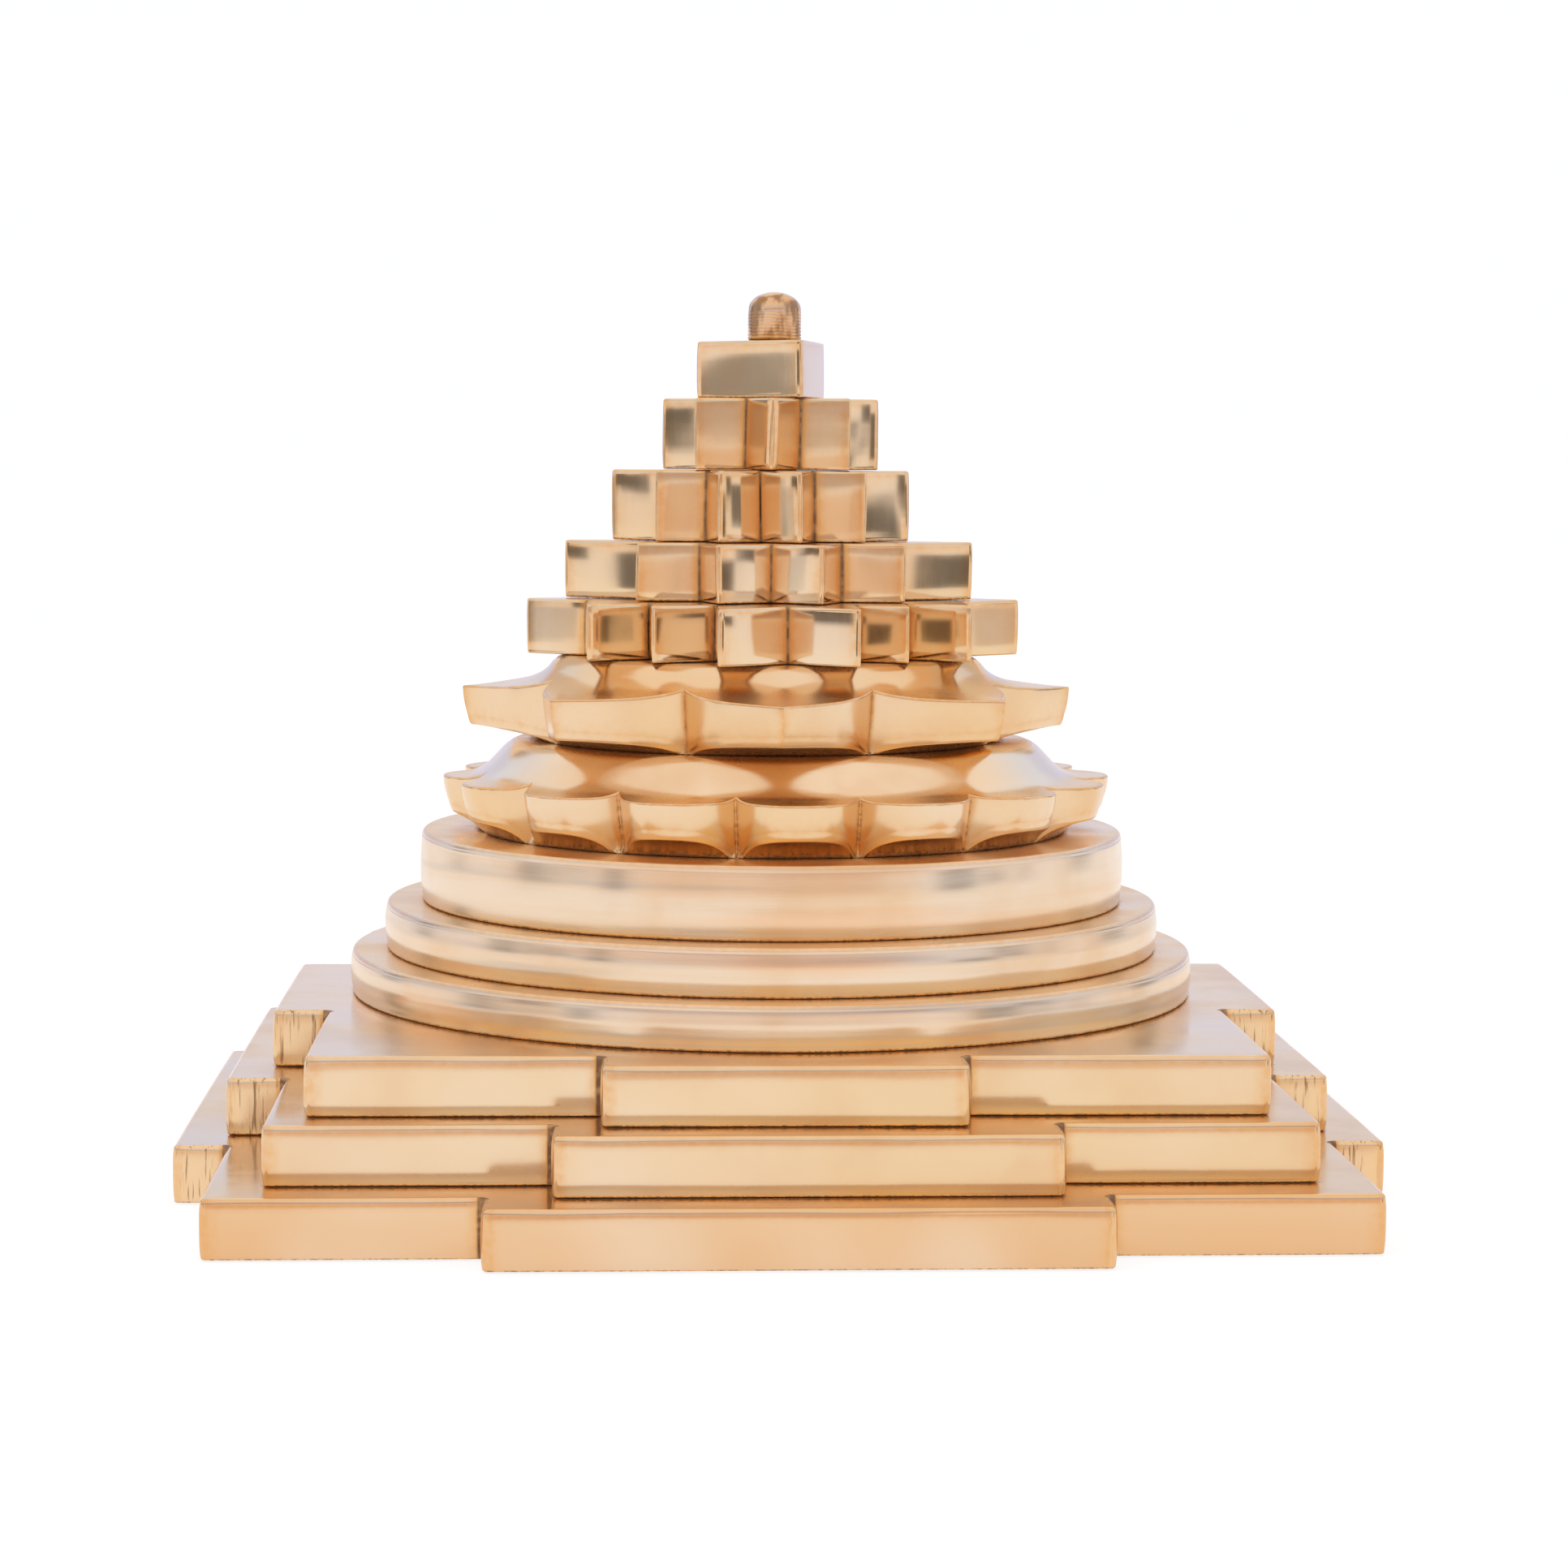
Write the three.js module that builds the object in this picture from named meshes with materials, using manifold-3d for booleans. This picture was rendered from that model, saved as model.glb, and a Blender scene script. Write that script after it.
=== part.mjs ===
// Shri yantra in three dimensions: a stack of polished brass plates on one tie rod.
// Millimetres, +Z up. The origin is on the table, under the middle of the stack.
// The long axis of the nine triangles lies along X, and the front gate faces -Y.

import * as THREE from 'three';
import { mergeVertices } from 'three/addons/utils/BufferGeometryUtils.js';
import Module from 'manifold-3d';

const wasm = await Module();
wasm.setup();

// Square plates, from the table up. Each side has a gate: a block that stands out from its middle.
// The front gates weren't cut quite on the middle.
const BHUPURA_BOTTOM = {
  name: 'bhupura_bottom',
  halfSide: 69.4,
  gateHalf: 36.7,
  gateReach: 6.8,
  frontGateShift: 0,
  thickness: 7.2,
  turn: 0,
};
const BHUPURA_MIDDLE = {
  name: 'bhupura_middle',
  halfSide: 62.8,
  gateHalf: 30.1,
  gateReach: 7.4,
  frontGateShift: 1.4,
  thickness: 7.2,
  turn: 0,
};
const BHUPURA_TOP = {
  name: 'bhupura_top',
  halfSide: 57.9,
  gateHalf: 21.9,
  gateReach: 7.0,
  frontGateShift: -0.8,
  thickness: 7.2,
  turn: -0.3,
};
const PLATE_EDGE = 0.5;

// Three round steps. The side of each swells a little between its foot and its rounded rim.
const RING_BOTTOM = { name: 'ring_bottom', radius: 56.2, thickness: 5.7, rim: 1.1 };
const RING_MIDDLE = { name: 'ring_middle', radius: 51.6, thickness: 6.2, rim: 1.2 };
const RING_TOP = { name: 'ring_top', radius: 46.9, thickness: 9.3, rim: 1.4 };
const RING_SWELL = 0.25;

// Lotus tiers. Each is a spool with hollow flanks, cut to an outline of petals that leans in as
// it goes down. Heights are from the foot of the tier. The upper flank runs from the neck to the
// top of the rim and the lower flank from the foot to the bottom of the rim, each round its bend,
// whose reach is the share of the flank that curves.
// The spool and its petals each sit a little to one side of the rod.
const LOTUS_16 = {
  name: 'lotus_16',
  petals: 16,
  pointed: false,
  crestRadius: 44.6,
  valleyRadius: 39.6,
  thickness: 11.9,
  neckRadius: 34.8,
  upperBendRadius: 39.3,
  upperBendHeight: 7.1,
  upperBendReach: 0.35,
  rimTop: 7.0,
  rimBottom: 2.9,
  lowerBendRadius: 41.3,
  lowerBendHeight: 2.4,
  lowerBendReach: 0.8,
  footRadius: 39.0,
  lean: 0.22,
  firstValley: -100.2,
  spoolShift: 0,
  petalShift: 0.7,
};
const LOTUS_8 = {
  name: 'lotus_8',
  petals: 8,
  pointed: true,
  crestRadius: 40.6,
  valleyRadius: 30.8,
  thickness: 11.1,
  neckRadius: 27.9,
  upperBendRadius: 30.6,
  upperBendHeight: 7.1,
  upperBendReach: 0.7,
  rimTop: 6.8,
  rimBottom: 1.8,
  lowerBendRadius: 33.4,
  lowerBendHeight: 1.5,
  lowerBendReach: 0.8,
  footRadius: 30.4,
  lean: 0.18,
  firstValley: -112.3,
  spoolShift: -0.8,
  petalShift: -0.7,
};
const POINTED_PETAL_SWELL = 1.5;
const ROUND_PETAL_FULLNESS = 3.6;
const PETAL_STEPS = 6;
const FLANK_STEPS = 4;

// The nine interlocking triangles, on the traditional diameter of 48 parts: the height of each
// base line, half its length, and the height of the point opposite.
const NINE_TRIANGLES = [
  { base: 18, half: 13.89, apex: -3 },
  { base: 12, half: 16.45, apex: -18 },
  { base: 7, half: 22.96, apex: -24 },
  { base: 4, half: 7.89, apex: -12 },
  { base: 1, half: 5.99, apex: -6 },
  { base: -3, half: 7.94, apex: 12 },
  { base: -6, half: 23.24, apex: 24 },
  { base: -12, half: 17.32, apex: 18 },
  { base: -18, half: 13.89, apex: 7 },
];
const TRIANGLE_PART = 1.37;
const STAR_14 = { name: 'star_14', thickness: 7.3 };

// The three stars inside it: tips at even angles, with a long one at each end of the long axis.
// The shoulder is the valley beside a long tip. The inner star sits a little off the rod.
const STAR_10_OUTER = {
  name: 'star_10_outer',
  tips: 10,
  rightTip: 26.5,
  leftTip: 27.9,
  sideTip: 21.6,
  valley: 15.6,
  shoulder: 17.0,
  offCentre: 0,
  thickness: 7.6,
  turn: -4,
};
const STAR_10_INNER = {
  name: 'star_10_inner',
  tips: 10,
  rightTip: 19.7,
  leftTip: 19.9,
  sideTip: 17.0,
  valley: 11.9,
  shoulder: 13.2,
  offCentre: -1.6,
  thickness: 9.3,
  turn: -3.1,
};
const STAR_8 = {
  name: 'star_8',
  tips: 8,
  rightTip: 13.9,
  leftTip: 14.8,
  sideTip: 14.3,
  valley: 9.2,
  shoulder: 9.2,
  offCentre: 0,
  thickness: 9.3,
  turn: -3.6,
};
const STAR_EDGE = 0.35;

// The innermost triangle, a solid block.
const TRIKONA = { name: 'trikona_block', radius: 10.5, thickness: 7.5, turn: 47 };

// The bindu is the domed head of the rod that clamps the stack.
const BINDU_RADIUS = 3.6;
const BINDU_HEIGHT = 6.4;
const DOME_HEIGHT = 2.0;
const ROD_RADIUS = 3.0;
const BORE_CLEARANCE = 0.2;

// A thin nut and a washer, in a pocket under the lowest plate.
const NUT_ACROSS_FLATS = 10;
const NUT_THICKNESS = 3.2;
const WASHER_RADIUS = 6;
const WASHER_THICKNESS = 1.6;
const POCKET_RADIUS = 7;
const POCKET_FLOOR = 2.0;

// The line that shows between one piece and the next.
const SEAM = 0.1;

// Facets round the widest pieces.
const ROUND_STEPS = 56;

const boreRadius = ROD_RADIUS + BORE_CLEARANCE;
const fullTurn = 2 * Math.PI;

const polished = new THREE.MeshStandardMaterial({ color: 0xe2b06c, roughness: 0.2, metalness: 1 });
const turned = new THREE.MeshStandardMaterial({ color: 0xb8863f, roughness: 0.38, metalness: 1 });
const hardware = new THREE.MeshStandardMaterial({ color: 0xc9a45a, roughness: 0.45, metalness: 1 });

function polar(radius, angle) {
  return new THREE.Vector2(radius * Math.cos(angle), radius * Math.sin(angle));
}

// A closed solid as the library wants it: positions only, with shared corners merged.
function toSolid(geometry) {
  const bare = geometry.clone();
  bare.deleteAttribute('normal');
  bare.deleteAttribute('uv');
  const merged = mergeVertices(bare, 1e-4);
  return new wasm.Manifold(new wasm.Mesh({
    numProp: 3,
    vertProperties: merged.attributes.position.array,
    triVerts: Uint32Array.from(merged.index.array),
  }));
}

function toGeometry(solid) {
  const mesh = solid.getMesh();
  const geometry = new THREE.BufferGeometry();
  geometry.setAttribute('position', new THREE.BufferAttribute(mesh.vertProperties, 3));
  geometry.setIndex(new THREE.BufferAttribute(mesh.triVerts, 1));
  geometry.computeVertexNormals();
  return geometry;
}

// Turns [radius, height] points about Z. The points run up the outside.
function revolve(points, segments) {
  const profile = points.map(([radius, height]) => new THREE.Vector2(radius, height));
  return new THREE.LatheGeometry(profile, segments).rotateX(Math.PI / 2);
}

function boreHole() {
  const hole = new THREE.Path();
  hole.absarc(0, 0, boreRadius, 0, fullTurn, true);
  return hole;
}

// A flat plate of the given outline with softened edges and the bore for the rod.
function plate(outline, thickness, edge) {
  const shape = new THREE.Shape(outline);
  shape.holes.push(boreHole());
  const geometry = new THREE.ExtrudeGeometry(shape, {
    depth: thickness - 2 * edge,
    bevelThickness: edge,
    bevelSize: edge,
    bevelOffset: -edge,
    bevelSegments: 2,
    curveSegments: 12,
  });
  return geometry.translate(0, 0, edge);
}

function gatedSquare({ halfSide, gateHalf, gateReach, frontGateShift }) {
  const outline = [];
  const gateFace = halfSide + gateReach;
  const frontSide = 3;
  for (let side = 0; side < 4; side += 1) {
    const quarter = (side * Math.PI) / 2;
    const shift = side === frontSide ? frontGateShift : 0;
    const corners = [
      [halfSide, -halfSide], [halfSide, shift - gateHalf], [gateFace, shift - gateHalf],
      [gateFace, shift + gateHalf], [halfSide, shift + gateHalf],
    ];
    for (const [x, y] of corners) {
      outline.push(new THREE.Vector2(x, y).rotateAround(new THREE.Vector2(), quarter));
    }
  }
  return outline;
}

// The outer edge of all nine triangles together. Every triangle holds the centre, so along
// each direction the edge is the furthest of the nine. Corners are the points of triangles and
// the places where two of their sides cross.
function nineTriangleOutline() {
  const sides = [];
  for (const { base, half, apex } of NINE_TRIANGLES) {
    const corners = [[base, -half], [base, half], [apex, 0]].map(([along, across]) => (
      new THREE.Vector2(along, across).multiplyScalar(TRIANGLE_PART)));
    for (let i = 0; i < 3; i += 1) {
      sides.push([corners[i], corners[(i + 1) % 3]]);
    }
  }
  const outermost = (point) => (
    Math.max(...sides.map((side) => reach(side, point.angle()))) < point.length() + TRIANGLE_PART / 1000);
  const candidates = sides.map(([start]) => start);
  for (const first of sides) {
    for (const second of sides) {
      const crossing = crossingOf(first, second);
      if (crossing) {
        candidates.push(crossing);
      }
    }
  }
  const outline = [];
  for (const point of candidates.filter(outermost).sort((a, b) => a.angle() - b.angle())) {
    const last = outline.at(-1);
    if (!last || last.distanceTo(point) > TRIANGLE_PART / 10) {
      outline.push(point);
    }
  }
  return outline;
}

// How far along a direction from the centre a side is met, or 0 if it is missed.
function reach([start, end], angle) {
  const direction = polar(1, angle);
  const side = end.clone().sub(start);
  const slope = direction.cross(side);
  if (Math.abs(slope) < 1e-9) {
    return 0;
  }
  const distance = start.cross(side) / slope;
  const share = start.cross(direction) / slope;
  return distance > 0 && share > -1e-6 && share < 1 + 1e-6 ? distance : 0;
}

function crossingOf([a, b], [c, d]) {
  const first = b.clone().sub(a);
  const second = d.clone().sub(c);
  const slope = first.cross(second);
  if (Math.abs(slope) < 1e-9) {
    return null;
  }
  const between = c.clone().sub(a);
  const onFirst = between.cross(second) / slope;
  const onSecond = between.cross(first) / slope;
  const inside = (share) => share > 1e-6 && share < 1 - 1e-6;
  return inside(onFirst) && inside(onSecond) ? a.clone().addScaledVector(first, onFirst) : null;
}

function evenStar({ tips, rightTip, leftTip, sideTip, valley, shoulder, offCentre }) {
  const outline = [];
  const step = fullTurn / tips;
  for (let i = 0; i < tips; i += 1) {
    const beforeLong = (i + 1) % (tips / 2) === 0;
    let tip = sideTip;
    if (i === 0) {
      tip = rightTip;
    } else if (i === tips / 2) {
      tip = leftTip;
    }
    outline.push(polar(tip, i * step));
    outline.push(polar(tip !== sideTip || beforeLong ? shoulder : valley, (i + 0.5) * step));
  }
  return outline.map((point) => point.setX(point.x + offCentre));
}

// Petals round a circle, each one a curved line from valley to valley. A round petal is one full
// arch. A pointed petal is two lines, which swell beside the valleys and run straight to the crest.
function petalOutline({ petals, pointed, crestRadius, valleyRadius, firstValley }) {
  const outline = [];
  const first = THREE.MathUtils.degToRad(firstValley);
  const step = fullTurn / petals;
  const line = (from, to, rise) => {
    const outward = from.clone().add(to).normalize();
    for (let i = 0; i < PETAL_STEPS; i += 1) {
      const share = (1 - Math.cos((Math.PI * i) / PETAL_STEPS)) / 2;
      outline.push(from.clone().lerp(to, share).addScaledVector(outward, rise(share)));
    }
  };
  for (let i = 0; i < petals; i += 1) {
    const start = polar(valleyRadius, first + i * step);
    const crest = polar(crestRadius, first + (i + 0.5) * step);
    const end = polar(valleyRadius, first + (i + 1) * step);
    if (pointed) {
      const beside = (share) => POINTED_PETAL_SWELL * share * (1 - share) ** 2 * (27 / 4);
      line(start, crest, beside);
      line(crest, end, (share) => beside(1 - share));
    } else {
      const height = crestRadius - start.clone().add(end).length() / 2;
      line(start, end, (share) => height * (1 - Math.abs(2 * share - 1) ** ROUND_PETAL_FULLNESS));
    }
  }
  return outline;
}

// The petal outline as a block whose sides lean in towards the foot.
function leaningBlock(outline, { crestRadius, rimTop, lean, thickness }) {
  const spare = 1;
  const block = new THREE.ExtrudeGeometry(new THREE.Shape(outline), {
    depth: thickness + 2 * spare,
    bevelEnabled: false,
  }).translate(0, 0, -spare);
  const position = block.attributes.position;
  for (let i = 0; i < position.count; i += 1) {
    const height = position.getZ(i) - rimTop;
    const scale = 1 + (height * lean) / crestRadius;
    position.setXY(i, position.getX(i) * scale, position.getY(i) * scale);
  }
  return block;
}

// A flank between two [radius, height] points. It runs straight towards its bend from either
// side, and curves round it over the given share of its length.
function flank(from, bend, to, reach) {
  const [start, corner, end] = [from, bend, to].map((point) => new THREE.Vector2(...point));
  const curve = new THREE.QuadraticBezierCurve(
    corner.clone().lerp(start, reach), corner, corner.clone().lerp(end, reach),
  );
  return [start, ...curve.getPoints(FLANK_STEPS), end].map(({ x, y }) => [x, y]);
}

function lotus(spec) {
  const edge = spec.crestRadius + 2;
  const lowerBend = [spec.lowerBendRadius, spec.lowerBendHeight];
  const upperBend = [spec.upperBendRadius, spec.upperBendHeight];
  const under = flank([spec.footRadius, 0], lowerBend, [edge, spec.rimBottom], spec.lowerBendReach);
  const upper = flank([edge, spec.rimTop], upperBend, [spec.neckRadius, spec.thickness], spec.upperBendReach);
  const profile = [[0, 0], ...under, ...upper, [0, spec.thickness]];
  const spool = revolve(profile, ROUND_STEPS).translate(spec.spoolShift, 0, 0);
  const block = leaningBlock(petalOutline(spec), spec).translate(spec.petalShift, 0, 0);
  const petals = toSolid(spool).intersect(toSolid(block));
  return toGeometry(petals.subtract(toSolid(upright(boreRadius, -1, spec.thickness + 1))));
}

// A round bar on the axis from one height to another, to cut with.
function upright(radius, from, to) {
  return new THREE.CylinderGeometry(radius, radius, to - from, 48)
    .rotateX(Math.PI / 2)
    .translate(0, 0, (from + to) / 2);
}

function ring({ radius, thickness, rim }) {
  const points = [[boreRadius, 0], [radius - RING_SWELL, 0]];
  points.push([radius, (thickness - rim) / 2]);
  const rimSteps = 4;
  for (let i = 0; i <= rimSteps; i += 1) {
    const angle = (i / rimSteps) * (Math.PI / 2);
    points.push([
      radius - RING_SWELL - rim + rim * Math.cos(angle),
      thickness - rim + rim * Math.sin(angle),
    ]);
  }
  points.push([boreRadius, thickness], points[0]);
  return revolve(points, ROUND_STEPS);
}

function tieRod(length) {
  const shankTop = length - BINDU_HEIGHT;
  const points = [[0, 0], [ROD_RADIUS, 0], [ROD_RADIUS, shankTop], [BINDU_RADIUS, shankTop]];
  const domeSteps = 6;
  for (let i = 0; i <= domeSteps; i += 1) {
    const angle = (i / domeSteps) * (Math.PI / 2);
    points.push([
      i === domeSteps ? 0 : BINDU_RADIUS * Math.cos(angle),
      length - DOME_HEIGHT + DOME_HEIGHT * Math.sin(angle),
    ]);
  }
  return revolve(points, 32);
}

function washer() {
  const points = [
    [boreRadius, 0], [WASHER_RADIUS, 0], [WASHER_RADIUS, WASHER_THICKNESS], [boreRadius, WASHER_THICKNESS],
    [boreRadius, 0],
  ];
  return revolve(points, 32);
}

function nut() {
  const cornerRadius = NUT_ACROSS_FLATS / 2 / Math.cos(Math.PI / 6);
  const shape = new THREE.Shape();
  for (let i = 0; i < 6; i += 1) {
    const corner = polar(cornerRadius, (i * Math.PI) / 3);
    if (i === 0) {
      shape.moveTo(corner.x, corner.y);
    } else {
      shape.lineTo(corner.x, corner.y);
    }
  }
  shape.holes.push(boreHole());
  return new THREE.ExtrudeGeometry(shape, { depth: NUT_THICKNESS, bevelEnabled: false, curveSegments: 12 });
}

// The lowest plate has the pocket for the nut in its underside.
function pocketed(geometry, depth) {
  return toGeometry(toSolid(geometry).subtract(toSolid(upright(POCKET_RADIUS, -1, depth))));
}

const yantra = new THREE.Group();
let level = 0;

function place(name, geometry, material, height, turn = 0) {
  const mesh = new THREE.Mesh(geometry, material);
  mesh.name = name;
  mesh.position.z = height;
  mesh.rotation.z = THREE.MathUtils.degToRad(turn);
  yantra.add(mesh);
}

// Lays a piece on the stack, and moves the level up to where the next one sits.
function stack(name, geometry, thickness, turn = 0) {
  place(name, geometry, polished, level, turn);
  level += thickness + SEAM;
}

const pocketDepth = BHUPURA_BOTTOM.thickness - POCKET_FLOOR;
for (const spec of [BHUPURA_BOTTOM, BHUPURA_MIDDLE, BHUPURA_TOP]) {
  const flat = plate(gatedSquare(spec), spec.thickness, PLATE_EDGE);
  const isLowest = spec === BHUPURA_BOTTOM;
  stack(spec.name, isLowest ? pocketed(flat, pocketDepth) : flat, spec.thickness, spec.turn);
}
for (const spec of [RING_BOTTOM, RING_MIDDLE, RING_TOP]) {
  stack(spec.name, ring(spec), spec.thickness);
}
for (const spec of [LOTUS_16, LOTUS_8]) {
  stack(spec.name, lotus(spec), spec.thickness);
}
stack(STAR_14.name, plate(nineTriangleOutline(), STAR_14.thickness, STAR_EDGE), STAR_14.thickness);
for (const spec of [STAR_10_OUTER, STAR_10_INNER, STAR_8]) {
  stack(spec.name, plate(evenStar(spec), spec.thickness, STAR_EDGE), spec.thickness, spec.turn);
}
const trikonaOutline = [0, 1, 2].map((i) => polar(TRIKONA.radius, (i * fullTurn) / 3));
stack(TRIKONA.name, plate(trikonaOutline, TRIKONA.thickness, STAR_EDGE), TRIKONA.thickness, TRIKONA.turn);

// The washer bears on the roof of the pocket, the nut on the washer, and the rod ends in the nut.
const washerHeight = pocketDepth - SEAM - WASHER_THICKNESS;
const nutHeight = washerHeight - SEAM - NUT_THICKNESS;
place('washer', washer(), hardware, washerHeight);
place('nut', nut(), hardware, nutHeight);
place('bindu_tie_rod', tieRod(level + BINDU_HEIGHT - nutHeight), turned, nutHeight);

export default yantra;
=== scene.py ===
import math

import bpy
from mathutils import Matrix, Vector, noise


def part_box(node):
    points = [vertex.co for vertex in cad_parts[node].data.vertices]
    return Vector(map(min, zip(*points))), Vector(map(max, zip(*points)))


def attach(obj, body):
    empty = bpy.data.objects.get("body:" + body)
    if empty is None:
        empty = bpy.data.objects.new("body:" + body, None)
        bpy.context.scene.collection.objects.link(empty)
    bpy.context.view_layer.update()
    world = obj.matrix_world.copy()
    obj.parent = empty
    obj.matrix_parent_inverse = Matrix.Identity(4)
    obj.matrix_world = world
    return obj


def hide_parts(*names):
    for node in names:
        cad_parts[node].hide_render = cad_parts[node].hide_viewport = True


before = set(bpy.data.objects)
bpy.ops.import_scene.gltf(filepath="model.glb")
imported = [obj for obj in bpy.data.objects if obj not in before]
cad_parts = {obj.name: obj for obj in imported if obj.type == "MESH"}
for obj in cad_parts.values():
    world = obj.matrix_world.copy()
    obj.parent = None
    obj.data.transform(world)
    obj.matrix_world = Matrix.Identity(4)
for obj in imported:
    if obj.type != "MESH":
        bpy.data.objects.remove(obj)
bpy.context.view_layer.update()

# Lengths below are in millimetres and angles in degrees, and become metres and radians where used.
MM = 0.001

# The camera stands in front of the stack, as high as its upper stars. It looks along y, turned to the
# right by its yaw, down by its pitch and over by its roll.
CAMERA_PLACE = (-23.07, -485.54, 93.21)
CAMERA_YAW = 2.911
CAMERA_PITCH = 5.185
CAMERA_ROLL = 0.336
CAMERA_LENS = 83.61
SENSOR_WIDTH = 36

# The finish of a flat piece, here of the square plates. "edge" and "foot" are how far its upper and
# lower edges are rounded, "worn" is how much is worn off each outer corner, and "crease" is the radius
# of the inner corners. "barrel" and "pillow" are how far the sides swell up their height and along
# their length, "spread" is how far they stand out from the solid's, and "warp" is how far points
# wander sideways. The last two are how far the painted reflection on an outer corner and the stain
# and painted shade of an inner one reach. The bevel is the solid's own, and its side walls start above
# it.
PLATES = ("bhupura_bottom", "bhupura_middle", "bhupura_top")
PLATE_BEVEL = 0.5
PLATE_FINISH = {
    "edge": 0.6,
    "foot": 0.35,
    "worn": 0.45,
    "crease": 0.3,
    "barrel": 0.14,
    "pillow": 0.08,
    "spread": -0.12,
    "warp": 0.0,
    "reach": 0.5,
    "stain_and_shade": 0.4,
}

# Sides of a plate shorter than this, the returns of its gates, keep their file marks.
FILED_LENGTH = 9.0

# Stars and the innermost triangle.
STARS = ("star_14", "star_10_outer", "star_10_inner", "star_8", "trikona_block")
STAR_BEVEL = 0.35
STAR_FINISH = {
    "edge": 0.4,
    "foot": 0.3,
    "worn": 0.2,
    "crease": 0.2,
    "barrel": 0.09,
    "pillow": 0.1,
    "spread": 0.2,
    "warp": 0.2,
    "reach": 0.9,
    "stain_and_shade": 0.8,
}

# A flat piece's outline is read from the points at the foot of the solid's side walls. Points this near
# to each other count as one height and one place, and points within the limit belong to the bore.
SAME_HEIGHT = 0.02
SAME_PLACE = 0.05
BORE_LIMIT = 4.5

# The finish of a flat piece never has a sharper corner than this, and its flat caps start this far
# inside the rounded edges.
LEAST_RADIUS = 0.02
CAP_MARGIN = 0.4

# Steps of the fine meshes: round an edge, round a corner, up a side, along a side, given by the length
# of a step and the fewest steps, and once round a turned piece.
EDGE_STEPS = 4
CORNER_STEPS = 4
SIDE_STEPS = 10
SPAN_STEP = 2.5
LEAST_SPAN_STEPS = 8
ROUND_STEPS = 288

# The waves that filing and polishing leave in the sides: their depth, and their sizes across and up.
FLAT_WAVES = (0.12, 9, 14)
RING_WAVES = (0.07, 30, 2.2)
HEAD_WAVES = (0.12, 2.5, 3)

# The size of the places whose points wander sideways together.
WARP_SIZE = 12

# Three round steps: how far the rim and the edge of the foot are rounded, how far the foot is drawn in,
# how far the side swells, the depth of its fine waves, how far the underside and the ledge reach
# inwards before the flat caps, and steps up the side and round the rim.
RINGS = ("ring_bottom", "ring_middle", "ring_top")
RING_RIM = 0.6
RING_FOOT = 0.7
RING_FOOT_INSET = 0.3
RING_SWELL = 0.25
RING_WAVE = 0.012
RING_UNDERSIDE = 3
RING_LEDGE = 8
RING_STEPS = 24
RIM_STEPS = 8

# Lotus tiers, with the main sizes of the solids. "crest", "valley", "neck" and "foot" are radii, and
# heights are from the foot of the tier. A bend is [radius, height], and its reach is the share of the
# flank that curves round it. "lean" is how much the wall widens with height, "first_valley" is the
# bearing of one valley, and both shifts are along x. The last four are how much paler the upper flank
# is painted, as a painted sheen, how strong the dirt and painted shade of the foot are, how far up they
# go, in rows of points, and how strong the dirt and painted shade of the valleys are.
LOTUS_16 = {
    "node": "lotus_16",
    "petals": 16,
    "pointed": False,
    "crest": 44.6,
    "valley": 39.6,
    "neck": 34.8,
    "upper_bend": (39.3, 7.1),
    "upper_reach": 0.35,
    "rim_top": 7.0,
    "rim_bottom": 2.9,
    "lower_bend": (41.3, 2.4),
    "lower_reach": 0.8,
    "foot": 39.0,
    "lean": 0.22,
    "first_valley": -100.2,
    "spool_shift": 0.0,
    "petal_shift": 0.7,
    "painted_sheen": 0.6,
    "foot_dirt_and_shade": 0.9,
    "dirt_and_shade_rows": 0.5,
    "valley_dirt_and_shade": 0.4,
}
LOTUS_8 = {
    "node": "lotus_8",
    "petals": 8,
    "pointed": True,
    "crest": 40.6,
    "valley": 30.8,
    "neck": 27.9,
    "upper_bend": (30.6, 7.1),
    "upper_reach": 0.7,
    "rim_top": 6.8,
    "rim_bottom": 1.8,
    "lower_bend": (33.4, 1.5),
    "lower_reach": 0.8,
    "foot": 30.4,
    "lean": 0.18,
    "first_valley": -112.3,
    "spool_shift": -0.8,
    "petal_shift": -0.7,
    "painted_sheen": 0.0,
    "foot_dirt_and_shade": 0.5,
    "dirt_and_shade_rows": 12.0,
    "valley_dirt_and_shade": 0.8,
}

# Both lotus tiers: how far the sides of a pointed petal swell, how full a round petal is, steps along a
# petal's side and up a flank, how far the upper edge, the lower edge and the neck are rounded, and how
# far the walls swell.
POINTED_SWELL = 1.5
ROUND_FULLNESS = 2.7
PETAL_STEPS = 30
FLANK_STEPS = 14
RIM_ROUND = 0.35
UNDER_ROUND = 1.3
NECK_ROUND = 1.3
WALL_SWELL = 0.12

# How far the flanks are drawn past the crests, so that every wall meets them, how often the height of
# that meeting is corrected, and how far the foot and the neck reach inwards before the flat caps.
FLANK_SPARE = 2
MEETING_TRIES = 8
FOOT_LEDGE = 1
NECK_LEDGE = 4

# How far the stain and painted shade of a valley and the painted reflection on a point reach along a
# petal.
CREASE_REACH = 0.28
RIDGE_REACH = 0.8

# The bindu, the domed head of the rod, with fine turned ridges.
HEAD_HEIGHT = 6.4
DOME_HEIGHT = 2.4
HEAD_RADIUS = 3.6
SHANK_RADIUS = 3.0
RIDGE_PITCH = 0.42
RIDGE_DEPTH = 0.05
HEAD_STEPS = 90
DOME_STEPS = 24

# The pocket for the nut, in the underside of the lowest plate.
POCKET_RADIUS = 7.0
POCKET_DEPTH = 5.2
POCKET_STEPS = 96

# How far the painted shade of a seam between two pieces, found by occlusion, spreads from it.
SEAM_REACH = 0.8
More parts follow.
